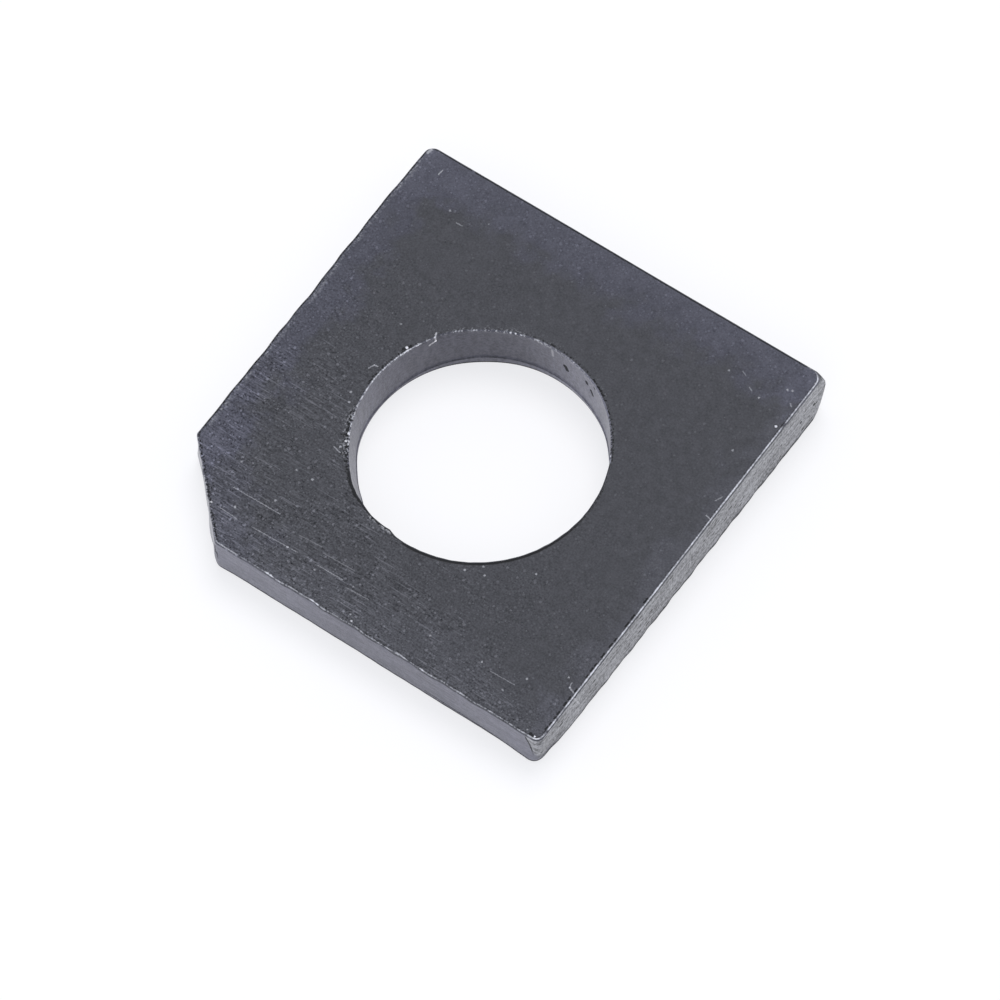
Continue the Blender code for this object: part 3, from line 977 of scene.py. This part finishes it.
def steel_material():
    """Blackened steel: rolled above and below, sheared and punched on its walls, bare at worn edges, with
    painted shade and highlights at edges and rims.
    """
    material = bpy.data.materials.new("blackened_steel")
    nodes = Nodes(material)
    place = nodes.stretched(nodes.add("ShaderNodeTexCoord").outputs["Object"], 1 / MM, 1 / MM, 1 / MM)
    axes = nodes.add("ShaderNodeSeparateXYZ", {0: place}).outputs
    wall = nodes.attribute("wall")
    bore = nodes.attribute("bore")
    # Wear on edges and rims, with painted shade and painted highlights in it
    wear_and_painted_light = nodes.attribute("wear_and_painted_light")
    marks = add_marks(nodes, place)

    face, coarse, grain = face_colour(nodes, place, axes)
    outside, inside, streaks, tears = wall_colours(nodes, place, axes)
    # The land is lighter, partly as burnish and partly as a painted reflection of the floor
    inside = nodes.shade(inside, nodes.spread(nodes.attribute("land"), 0.0, 1.0, 1.0, LAND_BURNISH_AND_REFLECTION))
    colour = nodes.mix(bore, nodes.mix(wall, face, outside), inside)

    # Worn edges are ragged: bare metal and painted highlights show in dots and dashes, and so does the black
    # beside them, which is partly painted shade
    ragged = nodes.spread(nodes.noise(place, 0.32, 2.0, 0.6), 0.33, 0.67)
    slow = nodes.spread(nodes.noise(place, 1.7, 1.0), 0.3, 0.7)
    smooth = nodes.plus(nodes.times(ragged, 0.6), nodes.times(slow, 0.4))
    missing = nodes.math("SUBTRACT", 1.0, smooth)
    chipped = nodes.spread(nodes.noise(place, 0.19, 1.0, 0.6), 0.36, 0.64, -1.0, 1.0)
    chipped = nodes.times(chipped, nodes.attribute("chips"))
    worn_and_painted_light = nodes.plus(wear_and_painted_light, chipped)
    dark = nodes.math("SUBTRACT", nodes.times(worn_and_painted_light, -1.0), nodes.times(missing, 0.20))
    dark = nodes.math("MAXIMUM", dark, nodes.times(marks, -1.0))
    black = nodes.spread(dark, 0.1, 0.8)
    bright = nodes.math("SUBTRACT", worn_and_painted_light, nodes.times(missing, 0.55))
    bright = nodes.math("MAXIMUM", bright, marks)
    bare = nodes.spread(bright, 0.0, 1.0)
    colour = nodes.shade(colour, nodes.spread(black, 0.0, 1.0, 1.0, 0.12))
    colour = nodes.mix(bare, colour, BARE)
    # Painted highlight: past bare metal, the brightest dots and lines on edges and the rim are made lighter
    # still, as glints
    colour = nodes.shade(colour, nodes.spread(bright, 0.9, 1.5, 1.0, 1.8))

    # Relief in millimetres
    relief = nodes.plus(
        nodes.times(grain, coarse, GRAIN_RELIEF),
        nodes.times(streaks, wall, STREAK_RELIEF),
        nodes.times(tears, bore, TEAR_RELIEF),
    )
    bump = nodes.add("ShaderNodeBump", {"Strength": 1.0, "Distance": MM, "Height": relief})
    rough = nodes.plus(nodes.times(bare, -0.08), nodes.times(bore, -0.06), STEEL_ROUGHNESS)
    rough = nodes.plus(rough, nodes.times(grain, 0.15), nodes.times(black, 0.45))
    metallic = nodes.spread(black, 0.0, 0.7, STEEL_METALLIC, 0.0)
    shader = nodes.add(
        "ShaderNodeBsdfPrincipled",
        {"Base Color": colour, "Metallic": metallic, "Roughness": rough, "Normal": bump.outputs["Normal"]},
    )
    nodes.add("ShaderNodeOutputMaterial", {"Surface": shader.outputs["BSDF"]})
    return material


def floor_material():
    """White paper, which the camera and the steel see whiter than the light makes it."""
    material = bpy.data.materials.new("floor_white")
    nodes = Nodes(material)
    path = nodes.add("ShaderNodeLightPath").outputs
    seen = nodes.math("MAXIMUM", path["Is Camera Ray"], path["Is Glossy Ray"])
    seen = nodes.math("MAXIMUM", seen, path["Is Transmission Ray"])
    paper = nodes.add("ShaderNodeBsdfDiffuse", {"Color": FLOOR_COLOUR})
    white = nodes.add("ShaderNodeEmission", {"Color": FLOOR_WHITE, "Strength": 1.0})
    share = nodes.times(seen, FLOOR_GLOW)
    mix = nodes.add("ShaderNodeMixShader", {0: share, 1: paper.outputs[0], 2: white.outputs[0]})
    nodes.add("ShaderNodeOutputMaterial", {"Surface": mix.outputs[0]})
    return material


def add_floor():
    """A plain white floor that keeps the washer's shadow."""
    half = FLOOR_SIZE / 2
    mesh = bpy.data.meshes.new("floor")
    corners = [(-half, -half, 0), (half, -half, 0), (half, half, 0), (-half, half, 0)]
    mesh.from_pydata(corners, [], [(0, 1, 2, 3)])
    mesh.materials.append(floor_material())
    floor = bpy.data.objects.new("floor", mesh)
    bpy.context.scene.collection.objects.link(floor)


def add_world():
    """Soft studio light, brightest at the horizon, with a white background."""
    world = bpy.data.worlds.new("studio")
    nodes = Nodes(world)
    direction = nodes.add("ShaderNodeTexCoord").outputs["Generated"]
    height = nodes.add("ShaderNodeSeparateXYZ", {0: direction}).outputs["Z"]
    strength = nodes.spread(height, 0.0, 0.9, HORIZON_LIGHT, ZENITH_LIGHT)
    light = nodes.add("ShaderNodeBackground", {"Color": WORLD_COLOUR, "Strength": strength})
    white = nodes.add("ShaderNodeBackground", {"Color": (1.0, 1.0, 1.0, 1.0), "Strength": 1.0})
    seen = nodes.add("ShaderNodeLightPath").outputs["Is Camera Ray"]
    mix = nodes.add("ShaderNodeMixShader", {0: seen, 1: light.outputs[0], 2: white.outputs[0]})
    nodes.add("ShaderNodeOutputWorld", {"Surface": mix.outputs[0]})
    bpy.context.scene.world = world


def add_lamps():
    """Large soft lamps, which the steel doesn't mirror."""
    for name, place, size, power in LAMPS:
        lamp = bpy.data.lights.new(name, "AREA")
        lamp.shape = "DISK"
        lamp.size = size
        lamp.energy = power
        lamp.color = LAMP_COLOUR
        holder = bpy.data.objects.new(name, lamp)
        holder.location = place
        holder.visible_glossy = False
        holder.rotation_euler = (-Vector(place)).to_track_quat("-Z", "Y").to_euler()
        bpy.context.scene.collection.objects.link(holder)


def add_camera():
    """The camera, which looks down on the washer's top, front and right sides."""
    place = Vector(CAMERA_PLACE)
    forward = (Vector(CAMERA_AIM) - place).normalized()
    level_right = forward.cross(Vector((0, 0, 1))).normalized()
    level_up = level_right.cross(forward)
    right = level_right * math.cos(CAMERA_ROLL) + level_up * math.sin(CAMERA_ROLL)
    up = right.cross(forward)
    camera = bpy.data.cameras.new("camera")
    camera.type = "PERSP"
    camera.lens = CAMERA_LENS
    camera.sensor_fit = "HORIZONTAL"
    camera.sensor_width = SENSOR_WIDTH
    camera.clip_start = 0.01
    camera.clip_end = 20
    holder = bpy.data.objects.new("camera", camera)
    turn = Matrix((right, up, -forward)).transposed().to_4x4()
    holder.matrix_world = Matrix.Translation(place * MM) @ turn
    bpy.context.scene.collection.objects.link(holder)
    bpy.context.scene.camera = holder


def main():
    """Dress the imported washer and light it."""
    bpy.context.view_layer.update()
    bpy.context.scene.view_settings.view_transform = "Standard"
    add_camera()
    make_steel(steel_material())
    add_floor()
    add_world()
    add_lamps()


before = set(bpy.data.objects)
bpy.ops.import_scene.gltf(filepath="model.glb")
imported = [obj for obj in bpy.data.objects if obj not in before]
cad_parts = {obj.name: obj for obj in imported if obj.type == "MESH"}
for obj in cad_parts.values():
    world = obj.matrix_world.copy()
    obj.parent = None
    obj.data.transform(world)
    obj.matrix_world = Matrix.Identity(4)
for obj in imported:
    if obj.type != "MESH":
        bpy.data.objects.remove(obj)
main()
